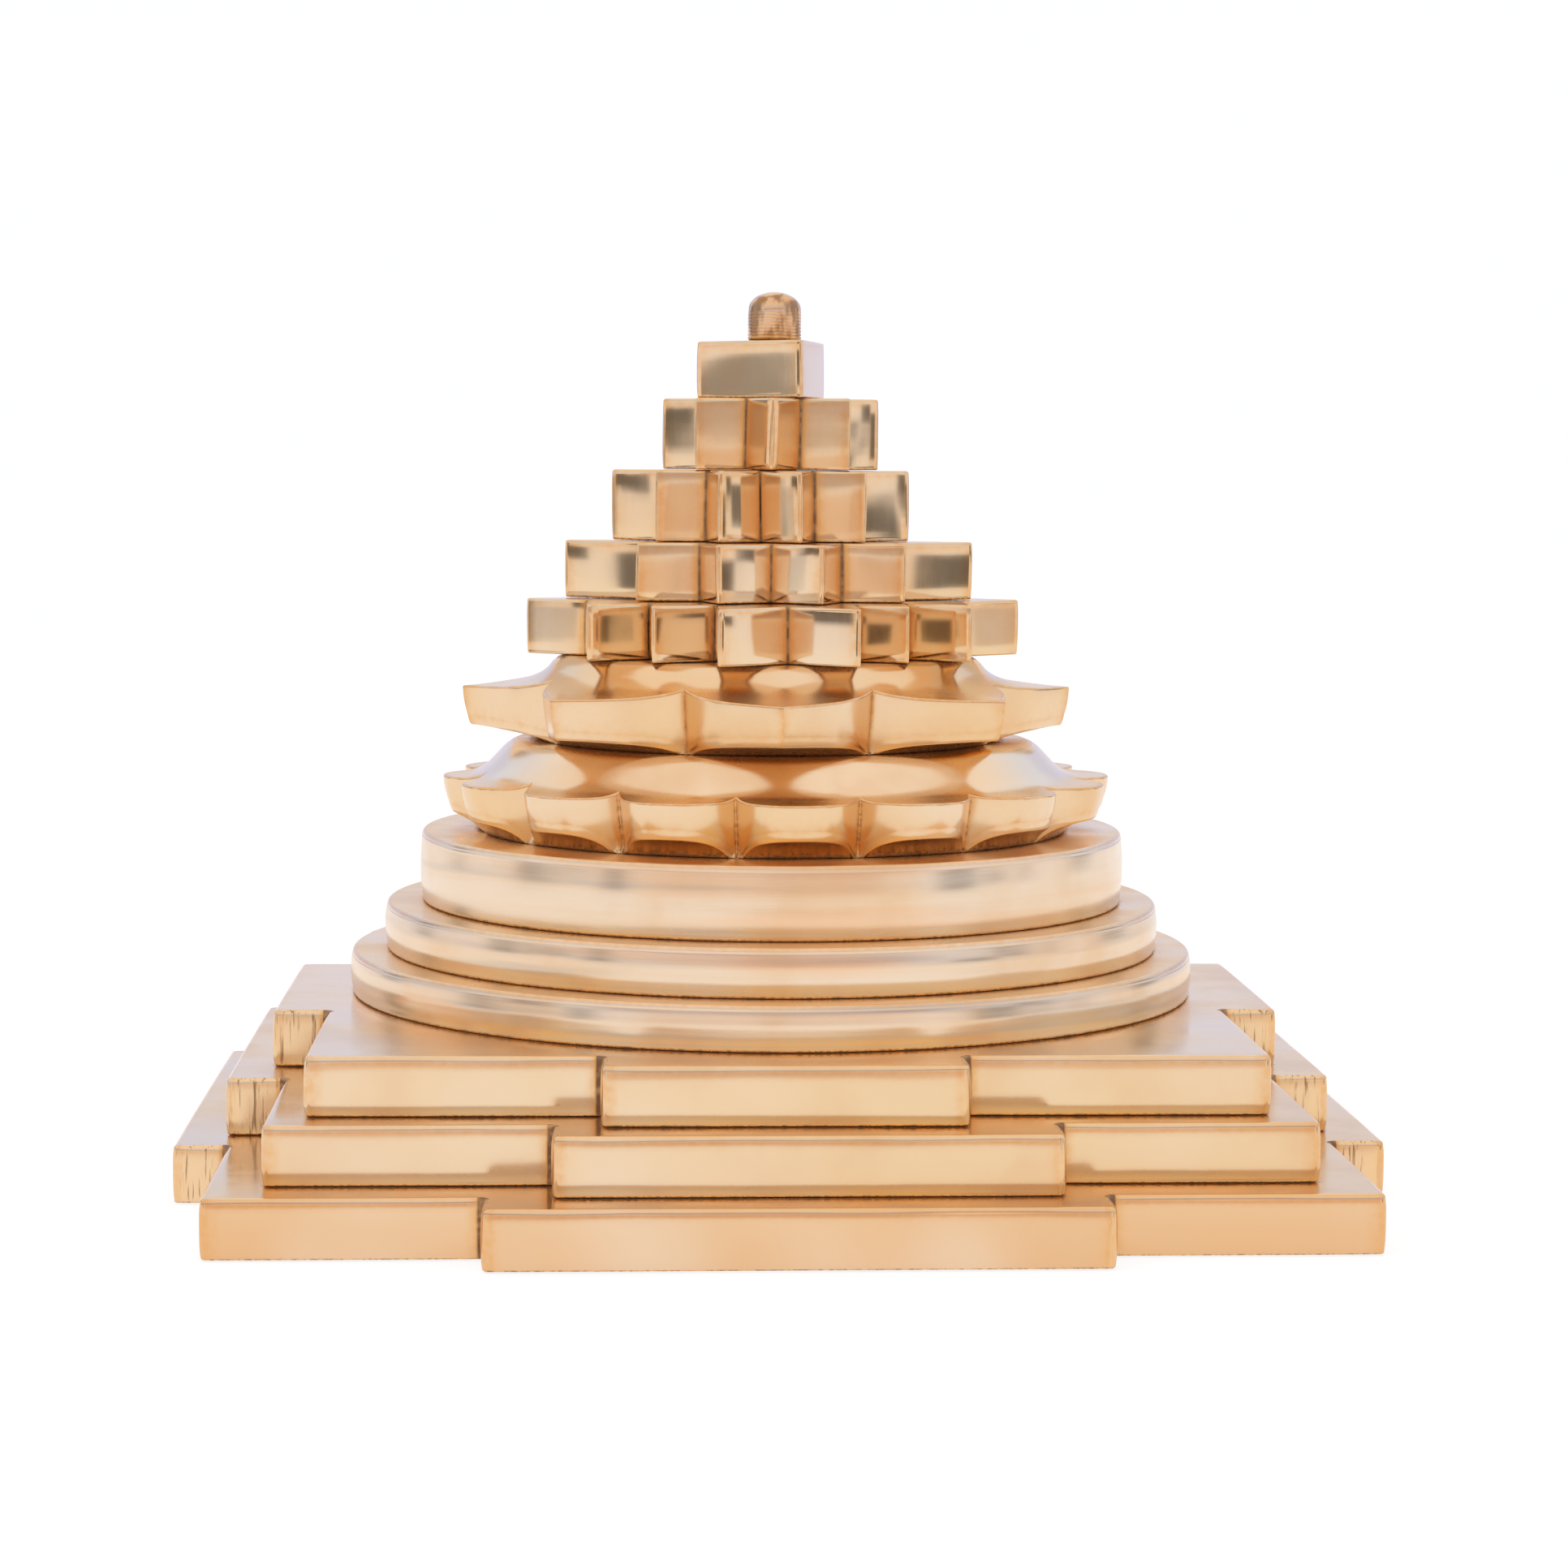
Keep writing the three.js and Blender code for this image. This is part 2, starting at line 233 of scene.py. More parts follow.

# Sizes of what varies in the metal, from the finest: scores of the file, grit that breaks up the painted
# shade and dirt of the seams, specks, patches of tarnish, bands and blushes of painted reflection on the
# rings, shallow dents, deeper coloured clouds, and cream coloured mist. Some are stretched, by these
# factors along x, y and z.
SCORE_SIZE = 0.35
SCORE_STRETCH = (1, 1, 18)
GRIT_SIZE = 0.5
SPECK_SIZE = 1.1
PATCH_SIZE = 1.5
PATCH_STRETCH = (1, 1, 2.5)
REFLECTION_BAND_SIZE = 2.4
REFLECTION_BAND_STRETCH = (24, 24, 1)
REFLECTION_BLUSH_SIZE = 3
REFLECTION_BLUSH_STRETCH = (20, 20, 1)
DENT_SIZE = 6
CLOUD_SIZE = 14
MIST_SIZE = 26

# Depths of the shallow dents and of the marks of polishing and filing.
DENT_DEPTH = 0.02
MARK_DEPTH = 0.006

# Brass, as light is reflected from it straight on.
BRASS = (0.83, 0.6, 0.365)
RING_BRASS = (0.85, 0.64, 0.45)
RED_BRASS = (0.8, 0.48, 0.25)
# Painted reflection, in the blushes on the rings.
PEACH_REFLECTION_BRASS = (0.88, 0.54, 0.32)
LOTUS_BRASS = (0.84, 0.59, 0.345)
# A painted reflection on edges and rims.
EDGE_REFLECTION_BRASS = (0.78, 0.38, 0.11)
# Cream, for the mist, and as painted reflection in the rings' bands.
CREAM_BRASS = (0.86, 0.7, 0.54)
# A painted sheen.
SHEEN_BRASS = (0.9, 0.74, 0.58)
# A painted reflection on flat ledges.
LEDGE_REFLECTION_BRASS = (0.97, 0.66, 0.31)
# Painted reflection, in the darker bands on the rings.
OLIVE_REFLECTION_BRASS = (0.5, 0.42, 0.36)
GOLD_BRASS = (0.9, 0.63, 0.36)
ROD_BRASS = (0.76, 0.46, 0.26)
DEEP_BRASS = (0.78, 0.5, 0.28)
HARDWARE_BRASS = (0.68, 0.5, 0.25)
# Orange-brown stain with painted shade, for inner corners, feet and seams.
STAIN_AND_SHADE = (0.8, 0.42, 0.13)
# Dark brown dirt with painted shade, for where creases and seams are deepest, and for the file scores.
GRIME_AND_SHADE = (0.16, 0.07, 0.03)
TARNISH = (0.3, 0.15, 0.07)

# The lowest plate is redder than the rest, up to this height.
RED_TOP = 14.0

# The floor lies just under the stack. It is white by itself to the share of its glow, and the rest of
# its light keeps the shadow.
FLOOR_RADIUS = 1400
FLOOR_STEPS = 96
FLOOR_DROP = 0.2
FLOOR_GLOW = 0.8
FLOOR_WHITE = (0.93, 0.93, 0.93)
GLOW_STRENGTH = 1.05


def shares(steps):
    """Shares from 0 to 1, closer together near both ends."""
    return [0.5 - 0.5 * math.cos(math.pi * k / steps) for k in range(steps + 1)]


def nearness(distance, reach):
    """1 at no distance, and less and less beyond the reach."""
    return math.exp(-distance / reach)


def quarter_turn(steps):
    """Angles from 0 to a right angle."""
    return [math.pi / 2 * k / steps for k in range(steps + 1)]


def loft(name, rows, marks):
    """A closed mesh through rows of points. Each row is a closed loop, and the end rows are capped."""
    count = len(rows[0])
    faces = [tuple(reversed(range(count)))]
    for upper in range(1, len(rows)):
        above = upper * count
        below = above - count
        for i in range(count):
            j = (i + 1) % count
            faces.append((below + i, below + j, above + j, above + i))
    last = (len(rows) - 1) * count
    faces.append(tuple(range(last, last + count)))
    mesh = bpy.data.meshes.new(name)
    mesh.from_pydata([tuple(point) for row in rows for point in row], [], faces)
    mesh.polygons.foreach_set("use_smooth", [True] * len(mesh.polygons))
    for mark, values in marks.items():
        attribute = mesh.attributes.new(mark, "FLOAT", "POINT")
        attribute.data.foreach_set("value", [value for row in values for value in row])
    return mesh


def ripple(mesh, depth, across, up):
    """Gives the sides slight waves, which fade out on ledges and go mostly inwards."""
    fade, inward = 1.5, 0.4
    moved = []
    for vertex in mesh.vertices:
        normal = vertex.normal
        upright = max(0.0, 1 - abs(normal.z) * fade)
        place = Vector((vertex.co.x / across, vertex.co.y / across, vertex.co.z / up)) / MM
        moved.append(vertex.co + normal * (noise.noise(place) - inward) * depth * MM * upright)
    for vertex, place in zip(mesh.vertices, moved):
        vertex.co = place
    mesh.update()


def warp(mesh, depth, size):
    """Moves points sideways, so that corners wander a little and faces aren't quite flat."""
    elsewhere = Vector((50, 0, 0))
    for vertex in mesh.vertices:
        place = vertex.co / (size * MM)
        shift = Vector((noise.noise(place), noise.noise(place + elsewhere), 0))
        vertex.co += shift * depth * MM
    mesh.update()


def add_piece(mesh, node, material):
    """Shows a fine mesh in place of a solid."""
    piece = bpy.data.objects.new(node + "_finish", mesh)
    bpy.context.scene.collection.objects.link(piece)
    mesh.materials.append(material)
    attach(piece, "root")
    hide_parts(node)


def outline_of(node, bevel):
    """Corners of a flat piece, from the foot of its side walls, in order round the axis."""
    low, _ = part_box(node)
    found = []
    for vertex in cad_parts[node].data.vertices:
        corner = vertex.co.to_2d()
        on_foot = abs(vertex.co.z - low.z - bevel * MM) < SAME_HEIGHT * MM
        is_new = all((corner - other).length > SAME_PLACE * MM for other in found)
        if on_foot and corner.length > BORE_LIMIT * MM and is_new:
            found.append(corner)
    return sorted(found, key=lambda corner: math.atan2(corner.y, corner.x))


def outline_row(corners, inset, finish):
    """The outline moved in, with an arc at each corner and a slight swell along each side."""
    arcs = []
    for i, corner in enumerate(corners):
        before = (corner - corners[i - 1]).normalized()
        after = (corners[(i + 1) % len(corners)] - corner).normalized()
        turn = math.atan2(before.cross(after), before.dot(after))
        out = Vector((before.y, -before.x))
        out_after = Vector((after.y, -after.x))
        moved = corner - (out + out_after) * (inset / (1 + out.dot(out_after)))
        if turn > 0:
            worn = finish["worn"] * MM / (1 / math.cos(turn / 2) - 1)
            radius = max(worn - inset, LEAST_RADIUS * MM)
        else:
            radius = finish["crease"] * MM + inset
        cut = radius * math.tan(abs(turn) / 2)
        reach = math.copysign(radius, turn)
        centre = moved - before * cut - out * reach
        arcs.append([
            centre + Matrix.Rotation(turn * k / CORNER_STEPS, 2) @ out * reach
            for k in range(CORNER_STEPS + 1)
        ])
    row = []
    for i, arc in enumerate(arcs):
        row += arc
        following = (i + 1) % len(corners)
        start, end = arc[-1], arcs[following][0]
        along = (corners[following] - corners[i]).normalized()
        out = Vector((along.y, -along.x))
        for share in shares(span_steps(corners[i], corners[following]))[1:-1]:
            row.append(start.lerp(end, share) + out * (finish["pillow"] * MM * flat_swell(share)))
    return row


def flat_swell(share):
    """Rises from 0 at both ends to 1, with a flat middle."""
    return 1 - (2 * share - 1) ** 4


def span_steps(start, end):
    """How many steps a side from start to end has."""
    return max(LEAST_SPAN_STEPS, round((end - start).length / (SPAN_STEP * MM)))


def outline_marks(corners, reach, stain_and_shade):
    """For each point of a row: how much painted reflection it has, how much stain and painted shade, and
    how filed it is.
    """
    corner_reflection, corner_filed = 0.6, 0.5
    turns = []
    for i, corner in enumerate(corners):
        before = corner - corners[i - 1]
        after = corners[(i + 1) % len(corners)] - corner
        turns.append(before.cross(after) > 0)
    edge, crease, filed = [], [], []
    for i, corner in enumerate(corners):
        following = (i + 1) % len(corners)
        length = (corners[following] - corner).length
        is_filed = 1.0 if length < FILED_LENGTH * MM else 0.0
        edge += [corner_reflection] * (CORNER_STEPS + 1)
        crease += [float(not turns[i])] * (CORNER_STEPS + 1)
        filed += [is_filed * corner_filed] * (CORNER_STEPS + 1)
        for share in shares(span_steps(corner, corners[following]))[1:-1]:
            start, end = share * length, (1 - share) * length
            edge.append(max(nearness(start, reach), nearness(end, reach)))
            start_crease = nearness(start, stain_and_shade) * (not turns[i])
            end_crease = nearness(end, stain_and_shade) * (not turns[following])
            crease.append(max(start_crease, end_crease))
            filed.append(is_filed)
    return edge, crease, filed


def side_profile(low, high, edge, foot, barrel, reach):
    """[height, inset, painted reflection, stain and painted shade], from the lower cap up."""
    rounding_reflection = 0.2
    cap_inset = edge + barrel + CAP_MARGIN * MM
    profile = [(low, cap_inset, 0.0, 0.0)]
    for k, angle in enumerate(quarter_turn(EDGE_STEPS)):
        inset = barrel + foot * (1 - math.sin(angle))
        profile.append((low + foot * (1 - math.cos(angle)), inset, 0.0, max(1 - 0.5 * k, 0.0)))
    for share in shares(SIDE_STEPS)[1:-1]:
        height = low + foot + (high - low - foot - edge) * share
        near_edge = nearness(high - edge - height, reach)
        profile.append((height, barrel * (1 - flat_swell(share)), near_edge, 0.0))
    for angle in reversed(quarter_turn(EDGE_STEPS)):
        inset = barrel + edge * (1 - math.sin(angle))
        profile.append((high - edge * (1 - math.cos(angle)), inset, rounding_reflection, 0.0))
    profile.append((high, cap_inset, 0.0, 0.0))
    return profile


def flat_piece(node, bevel, finish):
    """A plate or a star: its outline carried up the profile of its side."""
    low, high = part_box(node)
    corners = outline_of(node, bevel)
    edge, foot, barrel, reach = (finish[key] * MM for key in ("edge", "foot", "barrel", "reach"))
    column_edge, column_crease, column_filed = outline_marks(corners, reach, finish["stain_and_shade"] * MM)
    blank = [0.0] * len(column_edge)
    profile = side_profile(low.z, high.z, edge, foot, barrel, reach / 2)
    rows, edge_rows, crease_rows, filed_rows = [], [], [], []
    for k, (height, inset, near_edge, near_foot) in enumerate(profile):
        row = outline_row(corners, inset - finish["spread"] * MM, finish)
        on_cap = k in (0, len(profile) - 1)
        rows.append([point.to_3d() + Vector((0, 0, height)) for point in row])
        edge_rows.append(blank if on_cap else [max(near_edge, value) for value in column_edge])
        crease_rows.append(blank if on_cap else [max(near_foot, value) for value in column_crease])
        filed_rows.append(blank if on_cap else column_filed)
    mesh = loft(node, rows, {"edge": edge_rows, "crease": crease_rows, "filed": filed_rows})
    ripple(mesh, *FLAT_WAVES)
    warp(mesh, finish["warp"], WARP_SIZE)
    return mesh


def turned(node, profile, marks):
    """Turns [radius, height] points about the axis of the stack."""
    angles = [2 * math.pi * i / ROUND_STEPS for i in range(ROUND_STEPS)]
    rows, edge_rows, crease_rows = [], [], []
    for (radius, height), (edge, crease) in zip(profile, marks):
        rows.append([Vector((radius * math.cos(a), radius * math.sin(a), height)) for a in angles])
        edge_rows.append([edge] * ROUND_STEPS)
        crease_rows.append([crease] * ROUND_STEPS)
    return loft(node, rows, {"edge": edge_rows, "crease": crease_rows})


def round_step(node):
    """A round plate with a full rim and a side that swells between foot and rim."""
    low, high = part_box(node)
    radius = high.x
    rim, swell, foot, wave = (size * MM for size in (RING_RIM, RING_SWELL, RING_FOOT, RING_WAVE))
    inset = RING_FOOT_INSET * MM
    # Crease marks of a ring: stain and painted shade under it, at its foot and on the inner ledge where
    # the next ring sits. Its rim marks are a painted reflection.
    underside_stain_and_shade, foot_stain_and_shade, fading, ledge_stain_and_shade, rim_reflection = 0.9, 0.4, 0.08, 0.6, 0.5
    wave_turns, wave_start = 17, 40 * radius / MM
    profile = [(radius - RING_UNDERSIDE * MM, low.z)]
    marks = [(0, underside_stain_and_shade)]
    for k, angle in enumerate(quarter_turn(EDGE_STEPS)):
        profile.append((
            radius - wave - swell - inset * (1 - math.sin(angle)),
            low.z + foot * (1 - math.cos(angle)),
        ))
        marks.append((0, max(foot_stain_and_shade - fading * k, 0)))
    for k in range(1, RING_STEPS + 1):
        share = k / RING_STEPS
        height = low.z + foot + (high.z - low.z - rim - foot) * share
        out = wave * (math.sin(wave_turns * share + wave_start) - 1) - swell * (2 * share - 1) ** 2
        profile.append((radius + out, height))
        marks.append((0, 0))
    for angle in quarter_turn(RIM_STEPS):
        profile.append((
            radius - wave - swell - rim + rim * math.cos(angle),
            high.z - rim + rim * math.sin(angle),
        ))
        marks.append((rim_reflection * math.sin(2 * angle), 0))
    profile.append((radius - swell - rim - RING_LEDGE * MM, high.z))
    marks.append((0, ledge_stain_and_shade))
    mesh = turned(node, profile, marks)
    ripple(mesh, *RING_WAVES)
    return mesh


def flank_height(flank, radius):
    """Height of a flank at a radius.

    A flank is a start, a bend and an end, each [radius, height], and the share of its length that
    curves round the bend.
    """
    (r0, z0), (r1, z1), (r2, z2), reach = flank
    before = (r1 + (r0 - r1) * reach, z1 + (z0 - z1) * reach)
    after = (r1 + (r2 - r1) * reach, z1 + (z2 - z1) * reach)
    if abs(radius - r0) < abs(before[0] - r0):
        return z0 + (before[1] - z0) * (radius - r0) / (before[0] - r0)
    if abs(radius - r2) < abs(after[0] - r2):
        return z2 + (after[1] - z2) * (radius - r2) / (after[0] - r2)
    square = before[0] - 2 * r1 + after[0]
    line = 2 * (r1 - before[0])
    root = math.sqrt(max(line * line - 4 * square * (before[0] - radius), 0))
    share = 2 * (radius - before[0]) / (line + math.copysign(root, line))
    share = min(max(share, 0), 1)
    return (1 - share) ** 2 * before[1] + 2 * share * (1 - share) * z1 + share ** 2 * after[1]


def petal_columns(spec):
    """Points of the petals' outline about their own centre, each with its nearness to a valley and to
    a point."""
    columns = []
    step = 360 / spec["petals"]

    def polar(radius, angle):
        turn = math.radians(angle)
        return Vector((radius * math.cos(turn), radius * math.sin(turn)))

    def line(start, end, rise, start_sharp, end_sharp):
        outward = (start + end).normalized()
        length = (end - start).length
        for share in shares(PETAL_STEPS)[:-1]:
            point = start.lerp(end, share) + outward * rise(share)
            near_start = nearness(share * length, CREASE_REACH)
            near_end = nearness((1 - share) * length, CREASE_REACH)
            crease = near_start * (start_sharp == "crease") + near_end * (end_sharp == "crease")
            ridge = nearness(share * length, RIDGE_REACH) * (start_sharp == "ridge")
            ridge += nearness((1 - share) * length, RIDGE_REACH) * (end_sharp == "ridge")
            columns.append((point, crease, ridge))

    def beside(share):
        """Rises from 0 at both ends to the full swell at a third of the side, hence 27 / 4."""
        return POINTED_SWELL * share * (1 - share) ** 2 * 27 / 4

    def full(share):
        """Rises from 0 at both ends to the crest, with a flat middle."""
        return height * (1 - abs(2 * share - 1) ** ROUND_FULLNESS)

    for i in range(spec["petals"]):
        angle = spec["first_valley"] + i * step
        start = polar(spec["valley"], angle)
        crest = polar(spec["crest"], angle + step / 2)
        end = polar(spec["valley"], angle + step)
        if spec["pointed"]:
            line(start, crest, beside, "crease", "ridge")
            line(crest, end, lambda share: beside(1 - share), "ridge", "crease")
        else:
            height = spec["crest"] - (start + end).length / 2
            line(start, end, full, "crease", "crease")
    return columns


def bend(start, corner, end, steps):
    """Points from start to end, drawn towards the corner."""
    points = []
    for k in range(steps + 1):
        share = k / steps
        points.append(start.lerp(corner, share).lerp(corner.lerp(end, share), share))
    return points


def lotus_column(spec, thickness, outline_point):
    """One line up the outside of a lotus tier, from its foot to its top."""
    spool = Vector((spec["spool_shift"], 0))
    centre = Vector((spec["petal_shift"], 0))
    edge = spec["crest"] + FLANK_SPARE
    lower_rim, upper_rim = (edge, spec["rim_bottom"]), (edge, spec["rim_top"])
    lower = ((spec["foot"], 0), spec["lower_bend"], lower_rim, spec["lower_reach"])
    upper = (upper_rim, spec["upper_bend"], (spec["neck"], thickness), spec["upper_reach"])

    def wall(height):
        """Where the wall is at a height."""
        scale = 1 + (height - spec["rim_top"]) * spec["lean"] / spec["crest"]
        return centre + outline_point * scale

    def rim(flank, height):
        """Where the wall meets a flank, from a height that is corrected again and again."""
        for _ in range(MEETING_TRIES):
            height = flank_height(flank, (wall(height) - spool).length)
        return wall(height).to_3d() + Vector((0, 0, height))

    def on_flank(flank, point):
        flat = point.to_2d()
        return flat.to_3d() + Vector((0, 0, flank_height(flank, (flat - spool).length)))

    def ray_point(radius, corner):
        return spool + (corner.to_2d() - spool).normalized() * radius

    def past_rim(flank, corner, inner):
        """The point of a flank where the rounding of the rim ends."""
        share = RIM_ROUND / (corner.to_2d() - inner).length
        return on_flank(flank, corner.lerp(inner.to_3d(), share))

    top, bottom = rim(upper, spec["rim_top"]), rim(lower, spec["rim_bottom"])
    down = (bottom - top).normalized()
    foot, neck = ray_point(spec["foot"], bottom), ray_point(spec["neck"], top)
    under_start, over_start = past_rim(lower, bottom, foot), past_rim(upper, top, neck)
    column = [ray_point(spec["foot"] - FOOT_LEDGE, bottom).to_3d()]
    for k in range(FLANK_STEPS):
        column.append(on_flank(lower, foot.to_3d().lerp(under_start, k / FLANK_STEPS)))
    wall_low, wall_high = bottom - down * UNDER_ROUND, top + down * RIM_ROUND
    column += bend(under_start, bottom, wall_low, 2 * EDGE_STEPS)
    outward = outline_point.normalized().to_3d()
    for share in shares(SIDE_STEPS)[1:-1]:
        swell = WALL_SWELL * 4 * share * (1 - share)
        column.append(wall_low.lerp(wall_high, share) + outward * swell)
    column += bend(wall_high, top, over_start, EDGE_STEPS)
    neck_high = neck.to_3d() + Vector((0, 0, thickness))
    reach = (over_start.to_2d() - neck).length
    for k in range(1, FLANK_STEPS + 1):
        share = k / FLANK_STEPS * (1 - NECK_ROUND / reach)
        column.append(on_flank(upper, over_start.lerp(neck_high, share)))
    inner_neck = ray_point(spec["neck"] - NECK_ROUND, top).to_3d() + Vector((0, 0, thickness))
    column += bend(column[-1], neck_high, inner_neck, EDGE_STEPS)[1:]
    column.append(ray_point(spec["neck"] - NECK_LEDGE, top).to_3d() + Vector((0, 0, thickness)))
    return column


def lotus_piece(spec):
    """A lotus tier: lines up its outside, one at each point of the petals' outline."""
    rim_reflection, under_reflection, under_rows = 0.8, 0.5, 3
    low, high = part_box(spec["node"])
    thickness = (high.z - low.z) / MM
    columns = petal_columns(spec)
    lines = [lotus_column(spec, thickness, point) for point, _, _ in columns]
    ground = Vector((0, 0, low.z))
    rows = [[line[k] * MM + ground for line in lines] for k in range(len(lines[0]))]
    first_wall = 1 + FLANK_STEPS + 2 * EDGE_STEPS
    last_wall = first_wall + SIDE_STEPS
    edge_rows, crease_rows, sheen_rows = [], [], []
    for k in range(len(rows)):
        on_wall = first_wall - 2 * EDGE_STEPS <= k <= last_wall + EDGE_STEPS
        on_rim = last_wall < k <= last_wall + EDGE_STEPS
        # Crease marks are dirt and painted shade at the foot and in the valleys; edge marks are painted
        # reflection on the rim, the lower edge and the points.
        near_foot = spec["foot_dirt_and_shade"] * nearness(max(k - 1, 0), spec["dirt_and_shade_rows"])
        reflection_mark = max(rim_reflection * on_rim, under_reflection * nearness(abs(k - first_wall), under_rows))
        dirt_and_shade = spec["valley_dirt_and_shade"] * on_wall
        edge_rows.append([max(reflection_mark, ridge * on_wall) for _, _, ridge in columns])
        crease_rows.append([max(near_foot, dirt_and_shade * crease) for _, crease, _ in columns])
        # The upper flank gets its painted sheen.
        sheen_rows.append([spec["painted_sheen"] * (k > last_wall + EDGE_STEPS)] * len(columns))
    return loft(spec["node"], rows, {"edge": edge_rows, "crease": crease_rows, "painted_sheen": sheen_rows})


def rod_piece():
    """The clamping rod, with its ridged and domed head.

    Its lower end and the foot of the head have small chamfers, and the ridges fade towards the dome.
    """
    low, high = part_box("bindu_tie_rod")
    seat = high.z - HEAD_HEIGHT * MM
    dome = high.z - DOME_HEIGHT * MM
    radius = (HEAD_RADIUS - RIDGE_DEPTH) * MM
    shank = SHANK_RADIUS * MM
    profile = [
        (shank * 0.8, low.z),
        (shank, low.z + 0.4 * MM),
        (shank, seat),
        (radius - 0.25 * MM, seat),
        (radius - 0.1 * MM, seat + 0.15 * MM),
    ]
    for k in range(HEAD_STEPS + 1):
        height = seat + 0.3 * MM + (dome - seat - 0.5 * MM) * k / HEAD_STEPS
        wave = math.sin(2 * math.pi * height / (RIDGE_PITCH * MM))
        fading = 1 - 0.6 * k / HEAD_STEPS
        profile.append((radius + RIDGE_DEPTH * MM * (wave * fading), height))
    profile.append((radius - 0.02 * MM, dome - 0.1 * MM))
    for angle in quarter_turn(DOME_STEPS):
        profile.append((
            max(radius * math.cos(angle) - 0.01 * MM, 0.02 * MM),
            dome + DOME_HEIGHT * MM * math.sin(angle),
        ))
    # The foot of the head, where it sits, gets stain and painted shade.
    marks = [(0, nearness(abs(height - seat), 0.5 * MM)) for _, height in profile]
    mesh = turned("bindu_tie_rod", profile, marks)
    ripple(mesh, *HEAD_WAVES)
    return mesh


class Graph:
    """A short way to write shader nodes."""

    def __init__(self, tree):
        self.tree = tree
        tree.nodes.clear()

    def add(self, kind, inputs=None, **settings):
        """A node of a kind. Each input is another node's output or a value."""
        node = self.tree.nodes.new("ShaderNode" + kind)
        for name, value in settings.items():
            setattr(node, name, value)
        for key, value in (inputs or {}).items():
            if isinstance(value, bpy.types.NodeSocket):
                self.tree.links.new(value, node.inputs[key])
            else:
                node.inputs[key].default_value = value
        return node

    def attribute(self, name):
        """A mark that the mesh carries, or 0 where it has none."""
        return self.add("Attribute", attribute_name=name).outputs["Fac"]

    def math(self, operation, *values, clamp=False):
        node = self.add("Math", dict(enumerate(values)), operation=operation, use_clamp=clamp)
        return node.outputs[0]

    def times(self, first, second):
        return self.math("MULTIPLY", first, second)

    def ramp(self, value, low, high, start=0.0, end=1.0):
        """A value from low to high as a smooth share from start to end."""
        node = self.add(
            "MapRange",
            {"Value": value, "From Min": low, "From Max": high, "To Min": start, "To Max": end},
            interpolation_type="SMOOTHSTEP",
        )
        return node.outputs[0]

    def mix(self, share, first, second):
        """A colour between the first and the second, by a share of the second."""
        inputs = {0: share}
        for index, value in ((6, first), (7, second)):
            inputs[index] = value if isinstance(value, bpy.types.NodeSocket) else (*value, 1)
        return self.add("Mix", inputs, data_type="RGBA").outputs[2]

    def noise(self, place, size, detail, stretch=(1, 1, 1)):
        """Noise whose features are about as large as size, in millimetres."""
        scale = tuple(1 / (size * MM * factor) for factor in stretch)
        scaled = self.add("VectorMath", {0: place, 1: scale}, operation="MULTIPLY")
        node = self.add("TexNoise", {"Vector": scaled.outputs[0], "Scale": 1.0, "Detail": detail})
        return node.outputs[0]


